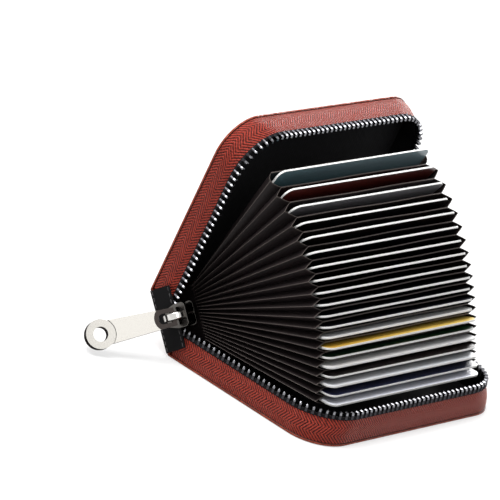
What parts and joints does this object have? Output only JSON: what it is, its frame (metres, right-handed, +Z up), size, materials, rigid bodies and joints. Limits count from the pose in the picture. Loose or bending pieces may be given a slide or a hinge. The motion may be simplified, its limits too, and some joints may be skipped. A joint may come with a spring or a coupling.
{
  "type": "accordion card wallet",
  "caption": "Zip-around card wallet lying open on its back cover, with a fanned accordion of card pockets, plain cards, metal zip teeth, a slider and a ring pull tab.",
  "frame": {"origin": "middle of the back cover's outer face, which lies on the table", "axes": "+X from the spine to the opening, +Y along the spine away from the parked slider, +Z up"},
  "size_m": [0.0928, 0.1381, 0.0934],
  "materials": {
    "leather": "pebbled, satin",
    "lining": "matt",
    "tape": "twill",
    "teeth": "gunmetal",
    "pocket": "satin black sheet",
    "base": "black glued sheet edges",
    "metal": "polished",
    "card": "plain card stock"
  },
  "bodies": {
    "back_cover": {"back_leather": "leather", "back_lining": "lining", "back_zip_tape": "tape", "back_zip_teeth": "teeth"},
    "spine": {"spine_leather": "leather", "spine_lining": "lining", "pocket_base": "base", "near_end_tab": "lining", "far_end_tab": "lining", "near_gusset": "pocket", "far_gusset": "pocket"},
    "front_cover": {"front_leather": "leather", "front_lining": "lining", "front_zip_tape": "tape", "front_zip_teeth": "teeth"},
    "slider": {"slider_body": "metal", "slider_bridge": "metal"},
    "pull_tab": {"pull_tab": "metal"},
    "leaf_00": {"leaf_00": "pocket"},
    "leaf_01": {"leaf_01": "pocket"},
    "leaf_02": {"leaf_02": "pocket"},
    "leaf_03": {"leaf_03": "pocket"},
    "leaf_04": {"leaf_04": "pocket"},
    "leaf_05": {"leaf_05": "pocket"},
    "leaf_06": {"leaf_06": "pocket"},
    "leaf_07": {"leaf_07": "pocket"},
    "leaf_08": {"leaf_08": "pocket"},
    "leaf_09": {"leaf_09": "pocket"},
    "leaf_10": {"leaf_10": "pocket"},
    "leaf_11": {"leaf_11": "pocket"},
    "leaf_12": {"leaf_12": "pocket"},
    "leaf_13": {"leaf_13": "pocket"},
    "leaf_14": {"leaf_14": "pocket"},
    "leaf_15": {"leaf_15": "pocket"},
    "leaf_16": {"leaf_16": "pocket"},
    "leaf_17": {"leaf_17": "pocket"},
    "leaf_18": {"leaf_18": "pocket"},
    "leaf_19": {"leaf_19": "pocket"},
    "leaf_20": {"leaf_20": "pocket"},
    "card_01": {"card_01": "card"},
    "card_02": {"card_02": "card"},
    "card_03": {"card_03": "card"},
    "card_04": {"card_04": "card"},
    "card_05": {"card_05": "card"},
    "card_06": {"card_06": "card"},
    "card_07": {"card_07": "card"},
    "card_08": {"card_08": "card"},
    "card_09": {"card_09": "card"},
    "card_10": {"card_10": "card"},
    "card_11": {"card_11": "card"},
    "card_12": {"card_12": "card"},
    "card_13": {"card_13": "card"},
    "card_14": {"card_14": "card"},
    "card_15": {"card_15": "card"},
    "card_16": {"card_16": "card"},
    "card_17": {"card_17": "card"},
    "card_18": {"card_18": "card"},
    "card_19": {"card_19": "card"},
    "card_20": {"card_20": "card"}
  },
  "joints": [
    {"name": "spine_fold", "type": "hinge", "parent": "back_cover", "child": "spine", "pos_m": [-0.037, 0, 0.001], "axis": [0, -1, 0], "range_deg": [-40, 0], "deforming": ["near_gusset", "far_gusset"]},
    {"name": "front_fold", "type": "hinge", "parent": "spine", "child": "front_cover", "pos_m": [-0.05243, 0, 0.01939], "axis": [0, -1, 0], "range_deg": [-40.01, 0]},
    {"name": "slider_run", "type": "slide", "parent": "spine", "child": "slider", "axis": [0.766, 0, 0.6428], "range_m": [0, 0.03801]},
    {"name": "pull_tab_swing", "type": "hinge", "parent": "slider", "child": "pull_tab", "pos_m": [-0.03744, -0.05635, 0.0163], "axis": [-0.6428, 0, 0.766], "range_deg": [0, 112]},
    {"name": "leaf_00_fold", "type": "hinge", "parent": "spine", "child": "leaf_00", "pos_m": [-0.02778, 0, 0.01024], "axis": [0, -1, 0], "range_deg": [0, 37.81]},
    {"name": "leaf_01_fold", "type": "hinge", "parent": "spine", "child": "leaf_01", "pos_m": [-0.02848, 0, 0.01107], "axis": [0, -1, 0], "range_deg": [0, 35.62]},
    {"name": "leaf_02_fold", "type": "hinge", "parent": "spine", "child": "leaf_02", "pos_m": [-0.02918, 0, 0.0119], "axis": [0, -1, 0], "range_deg": [0, 33.41]},
    {"name": "leaf_03_fold", "type": "hinge", "parent": "spine", "child": "leaf_03", "pos_m": [-0.02987, 0, 0.01273], "axis": [0, -1, 0], "range_deg": [0, 31.16]},
    {"name": "leaf_04_fold", "type": "hinge", "parent": "spine", "child": "leaf_04", "pos_m": [-0.03057, 0, 0.01356], "axis": [0, -1, 0], "range_deg": [0, 28.84]},
    {"name": "leaf_05_fold", "type": "hinge", "parent": "spine", "child": "leaf_05", "pos_m": [-0.03127, 0, 0.01439], "axis": [0, -1, 0], "range_deg": [0, 26.43]},
    {"name": "leaf_06_fold", "type": "hinge", "parent": "spine", "child": "leaf_06", "pos_m": [-0.03197, 0, 0.01522], "axis": [0, -1, 0], "range_deg": [0, 23.92]},
    {"name": "leaf_07_fold", "type": "hinge", "parent": "spine", "child": "leaf_07", "pos_m": [-0.03266, 0, 0.01606], "axis": [0, -1, 0], "range_deg": [0, 21.27]},
    {"name": "leaf_08_fold", "type": "hinge", "parent": "spine", "child": "leaf_08", "pos_m": [-0.03336, 0, 0.01689], "axis": [0, -1, 0], "range_deg": [0, 18.47]},
    {"name": "leaf_09_fold", "type": "hinge", "parent": "spine", "child": "leaf_09", "pos_m": [-0.03406, 0, 0.01772], "axis": [0, -1, 0], "range_deg": [0, 15.5]},
    {"name": "leaf_10_fold", "type": "hinge", "parent": "spine", "child": "leaf_10", "pos_m": [-0.03475, 0, 0.01855], "axis": [0, -1, 0], "range_deg": [0, 12.33]},
    {"name": "leaf_11_fold", "type": "hinge", "parent": "spine", "child": "leaf_11", "pos_m": [-0.03545, 0, 0.01938], "axis": [0, -1, 0], "range_deg": [0, 8.94]},
    {"name": "leaf_12_fold", "type": "hinge", "parent": "spine", "child": "leaf_12", "pos_m": [-0.03615, 0, 0.02021], "axis": [0, -1, 0], "range_deg": [0, 5.31]},
    {"name": "leaf_13_fold", "type": "hinge", "parent": "spine", "child": "leaf_13", "pos_m": [-0.03685, 0, 0.02104], "axis": [0, -1, 0], "range_deg": [0, 1.42]},
    {"name": "leaf_14_fold", "type": "hinge", "parent": "spine", "child": "leaf_14", "pos_m": [-0.03754, 0, 0.02187], "axis": [0, -1, 0], "range_deg": [-2.77, 0]},
    {"name": "leaf_15_fold", "type": "hinge", "parent": "spine", "child": "leaf_15", "pos_m": [-0.03824, 0, 0.0227], "axis": [0, -1, 0], "range_deg": [-7.25, 0]},
    {"name": "leaf_16_fold", "type": "hinge", "parent": "spine", "child": "leaf_16", "pos_m": [-0.03894, 0, 0.02354], "axis": [0, -1, 0], "range_deg": [-12.06, 0]},
    {"name": "leaf_17_fold", "type": "hinge", "parent": "spine", "child": "leaf_17", "pos_m": [-0.03964, 0, 0.02437], "axis": [0, -1, 0], "range_deg": [-17.22, 0]},
    {"name": "leaf_18_fold", "type": "hinge", "parent": "spine", "child": "leaf_18", "pos_m": [-0.04033, 0, 0.0252], "axis": [0, -1, 0], "range_deg": [-22.75, 0]},
    {"name": "leaf_19_fold", "type": "hinge", "parent": "spine", "child": "leaf_19", "pos_m": [-0.04103, 0, 0.02603], "axis": [0, -1, 0], "range_deg": [-28.67, 0]},
    {"name": "leaf_20_fold", "type": "hinge", "parent": "spine", "child": "leaf_20", "pos_m": [-0.04173, 0, 0.02686], "axis": [0, -1, 0], "range_deg": [-35.01, 0]},
    {"name": "card_01_slide", "type": "slide", "parent": "leaf_00", "child": "card_01", "axis": [0.9993, 0, 0.0384], "range_m": [-0.00023, 0.058]},
    {"name": "card_02_slide", "type": "slide", "parent": "leaf_01", "child": "card_02", "axis": [0.9971, 0, 0.0765], "range_m": [-0.00029, 0.058]},
    {"name": "card_03_slide", "type": "slide", "parent": "leaf_02", "child": "card_03", "axis": [0.9934, 0, 0.1149], "range_m": [-0.00036, 0.058]},
    {"name": "card_04_slide", "type": "slide", "parent": "leaf_03", "child": "card_04", "axis": [0.9881, 0, 0.1539], "range_m": [-0.0003, 0.058]},
    {"name": "card_05_slide", "type": "slide", "parent": "leaf_04", "child": "card_05", "axis": [0.9811, 0, 0.1937], "range_m": [-0.00082, 0.058]},
    {"name": "card_06_slide", "type": "slide", "parent": "leaf_05", "child": "card_06", "axis": [0.9721, 0, 0.2347], "range_m": [-0.00058, 0.058]},
    {"name": "card_07_slide", "type": "slide", "parent": "leaf_06", "child": "card_07", "axis": [0.9608, 0, 0.2772], "range_m": [-0.00209, 0.058]},
    {"name": "card_08_slide", "type": "slide", "parent": "leaf_07", "child": "card_08", "axis": [0.947, 0, 0.3212], "range_m": [-0.00114, 0.058]},
    {"name": "card_09_slide", "type": "slide", "parent": "leaf_08", "child": "card_09", "axis": [0.9302, 0, 0.3671], "range_m": [-0.0018, 0.058]},
    {"name": "card_10_slide", "type": "slide", "parent": "leaf_09", "child": "card_10", "axis": [0.9099, 0, 0.4148], "range_m": [-0.0012, 0.058]},
    {"name": "card_11_slide", "type": "slide", "parent": "leaf_10", "child": "card_11", "axis": [0.8856, 0, 0.4645], "range_m": [-0.002, 0.058]},
    {"name": "card_12_slide", "type": "slide", "parent": "leaf_11", "child": "card_12", "axis": [0.8565, 0, 0.5161], "range_m": [-0.0014, 0.058]},
    {"name": "card_13_slide", "type": "slide", "parent": "leaf_12", "child": "card_13", "axis": [0.8222, 0, 0.5692], "range_m": [-0.0018, 0.058]},
    {"name": "card_14_slide", "type": "slide", "parent": "leaf_13", "child": "card_14", "axis": [0.7816, 0, 0.6237], "range_m": [-0.0012, 0.058]},
    {"name": "card_15_slide", "type": "slide", "parent": "leaf_14", "child": "card_15", "axis": [0.7342, 0, 0.679], "range_m": [-0.0016, 0.058]},
    {"name": "card_16_slide", "type": "slide", "parent": "leaf_15", "child": "card_16", "axis": [0.6789, 0, 0.7343], "range_m": [-0.002, 0.058]},
    {"name": "card_17_slide", "type": "slide", "parent": "leaf_16", "child": "card_17", "axis": [0.6149, 0, 0.7886], "range_m": [-0.0014, 0.058]},
    {"name": "card_18_slide", "type": "slide", "parent": "leaf_17", "child": "card_18", "axis": [0.5415, 0, 0.8407], "range_m": [-0.0021, 0.058]},
    {"name": "card_19_slide", "type": "slide", "parent": "leaf_18", "child": "card_19", "axis": [0.458, 0, 0.8889], "range_m": [-0.00248, 0.058]},
    {"name": "card_20_slide", "type": "slide", "parent": "leaf_19", "child": "card_20", "axis": [0.3639, 0, 0.9315], "range_m": [-0.00339, 0.058]}
  ],
  "couplings": [
    {"joint": "front_fold", "follows": "spine_fold", "ratio": 1},
    {"joint": "slider_run", "follows": "spine_fold", "m_per_rad": -0.054431},
    {"joint": "leaf_00_fold", "follows": "spine_fold", "ratio": -0.945},
    {"joint": "leaf_01_fold", "follows": "spine_fold", "ratio": -0.89031},
    {"joint": "leaf_02_fold", "follows": "spine_fold", "ratio": -0.83507},
    {"joint": "leaf_03_fold", "follows": "spine_fold", "ratio": -0.77874},
    {"joint": "leaf_04_fold", "follows": "spine_fold", "ratio": -0.72078},
    {"joint": "leaf_05_fold", "follows": "spine_fold", "ratio": -0.66063},
    {"joint": "leaf_06_fold", "follows": "spine_fold", "ratio": -0.59774},
    {"joint": "leaf_07_fold", "follows": "spine_fold", "ratio": -0.53159},
    {"joint": "leaf_08_fold", "follows": "spine_fold", "ratio": -0.46161},
    {"joint": "leaf_09_fold", "follows": "spine_fold", "ratio": -0.38726},
    {"joint": "leaf_10_fold", "follows": "spine_fold", "ratio": -0.308},
    {"joint": "leaf_11_fold", "follows": "spine_fold", "ratio": -0.22328},
    {"joint": "leaf_12_fold", "follows": "spine_fold", "ratio": -0.13255},
    {"joint": "leaf_13_fold", "follows": "spine_fold", "ratio": -0.035273},
    {"joint": "leaf_14_fold", "follows": "spine_fold", "ratio": 0.069104},
    {"joint": "leaf_15_fold", "follows": "spine_fold", "ratio": 0.18113},
    {"joint": "leaf_16_fold", "follows": "spine_fold", "ratio": 0.30134},
    {"joint": "leaf_17_fold", "follows": "spine_fold", "ratio": 0.43028},
    {"joint": "leaf_18_fold", "follows": "spine_fold", "ratio": 0.56851},
    {"joint": "leaf_19_fold", "follows": "spine_fold", "ratio": 0.71657},
    {"joint": "leaf_20_fold", "follows": "spine_fold", "ratio": 0.875}
  ]
}
